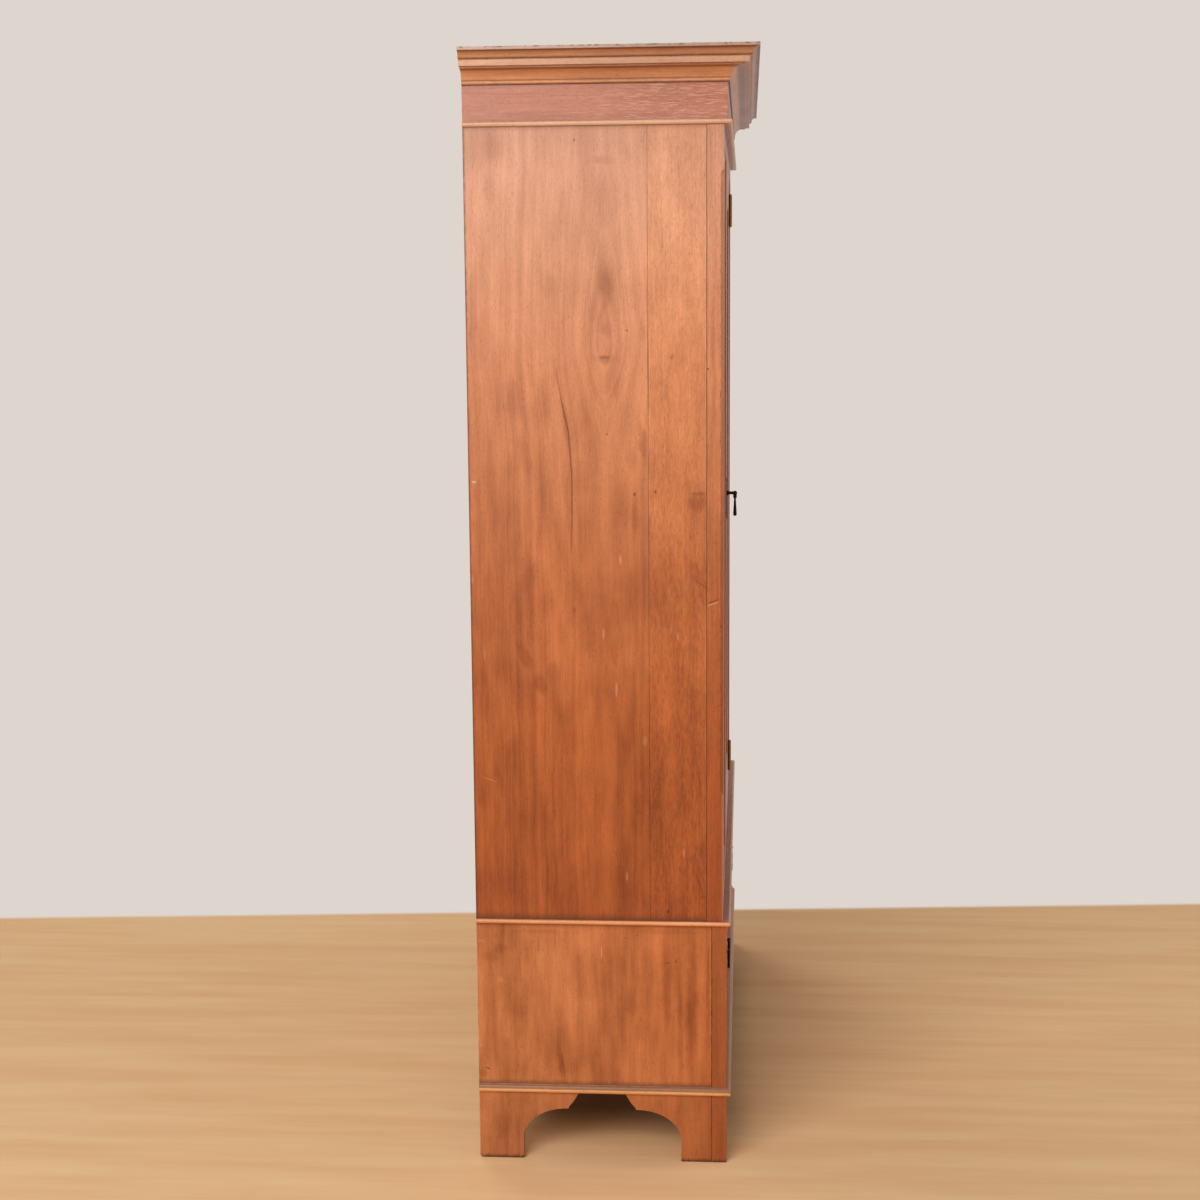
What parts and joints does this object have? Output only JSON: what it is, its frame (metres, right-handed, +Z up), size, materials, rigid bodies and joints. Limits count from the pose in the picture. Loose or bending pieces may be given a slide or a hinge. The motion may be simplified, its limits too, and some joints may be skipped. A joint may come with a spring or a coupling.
{
  "type": "mirrored wardrobe",
  "caption": "Wardrobe with a hinged mirror door between fixed panels, a full-width drawer below, bracket feet and a moulded cornice.",
  "frame": {"origin": "on the floor, in the middle of the footprint of the whole wardrobe's box", "axes": "+Z up, the front faces -Y, +X to the right as seen from the front"},
  "size_m": [1.378, 0.511, 2],
  "materials": {
    "mahogany": "satin polish over warm red-brown wood with upright grain",
    "pine": "planed and unpolished",
    "mirror": "silvered plate with a bevelled edge",
    "brass": "dull old brass",
    "dark_bronze": "near black patina, worn brighter on the edges",
    "steel": "dull steel"
  },
  "bodies": {
    "carcass": {"lower_side_left": "mahogany", "lower_side_right": "mahogany", "lower_stiles": "mahogany", "front_brackets": "mahogany", "drawer_rail_bottom": "mahogany", "drawer_rail_top": "mahogany", "base_bottom_board": "pine", "base_top_board": "pine", "base_back_panel": "pine", "drawer_runners": "pine", "glue_blocks": "pine", "base_moulding_front": "mahogany", "base_moulding_ends": "mahogany", "waist_moulding_front": "mahogany", "waist_moulding_ends": "mahogany", "side_boards_left": "mahogany", "side_boards_right": "mahogany", "corner_stiles": "mahogany", "jamb_stile_left": "mahogany", "jamb_stile_right": "mahogany", "face_rail_top": "mahogany", "face_rail_bottom": "mahogany", "flank_panels": "mahogany", "panel_mouldings": "mahogany", "carcass_bottom_board": "pine", "carcass_top_board": "pine", "back_boards": "pine", "hanging_rail": "brass", "rail_sockets": "brass", "door_stops": "mahogany", "strike_plate": "brass", "hinge_frame_leaves": "brass", "hinge_pins": "brass", "frieze_front": "mahogany", "frieze_ends": "mahogany", "frieze_bead_front": "mahogany", "frieze_bead_ends": "mahogany", "cornice_front": "mahogany", "cornice_ends": "mahogany", "cornice_back_rail": "pine"},
    "door": {"door_stile_left": "mahogany", "door_stile_right": "mahogany", "door_rail_top": "mahogany", "door_rail_bottom": "mahogany", "mirror_plate": "mirror", "mirror_beads": "mahogany", "mirror_back_board": "pine", "hinge_door_leaves": "brass", "lock_case": "steel", "pull_plate": "dark_bronze"},
    "drawer": {"drawer_front": "mahogany", "drawer_sides": "pine", "drawer_back": "pine", "drawer_bottom": "pine", "bail_roses": "dark_bronze"},
    "door_pull_drop": {"drop_handle": "dark_bronze"},
    "lock_bolt": {"lock_bolt": "brass"},
    "bail_left": {"bail_left": "dark_bronze"},
    "bail_right": {"bail_right": "dark_bronze"}
  },
  "joints": [
    {"name": "door_hinge", "type": "hinge", "parent": "carcass", "child": "door", "pos_m": [0.21475, -0.1987, 1.167], "axis": [0, 0, 1], "range_deg": [0, 165]},
    {"name": "door_pull_swing", "type": "hinge", "parent": "door", "child": "door_pull_drop", "pos_m": [-0.176, -0.212, 1.1955], "axis": [-1, 0, 0], "range_deg": [-10, 88]},
    {"name": "lock_bolt_slide", "type": "slide", "parent": "door", "child": "lock_bolt", "axis": [-1, 0, 0], "range_m": [0, 0.008]},
    {"name": "drawer_slide", "type": "slide", "parent": "carcass", "child": "drawer", "axis": [0, -1, 0], "range_m": [0, 0.3]},
    {"name": "bail_left_swing", "type": "hinge", "parent": "drawer", "child": "bail_left", "pos_m": [-0.336, -0.203, 0.316], "axis": [-1, 0, 0], "range_deg": [0, 85]},
    {"name": "bail_right_swing", "type": "hinge", "parent": "drawer", "child": "bail_right", "pos_m": [0.336, -0.203, 0.316], "axis": [-1, 0, 0], "range_deg": [0, 85]}
  ]
}
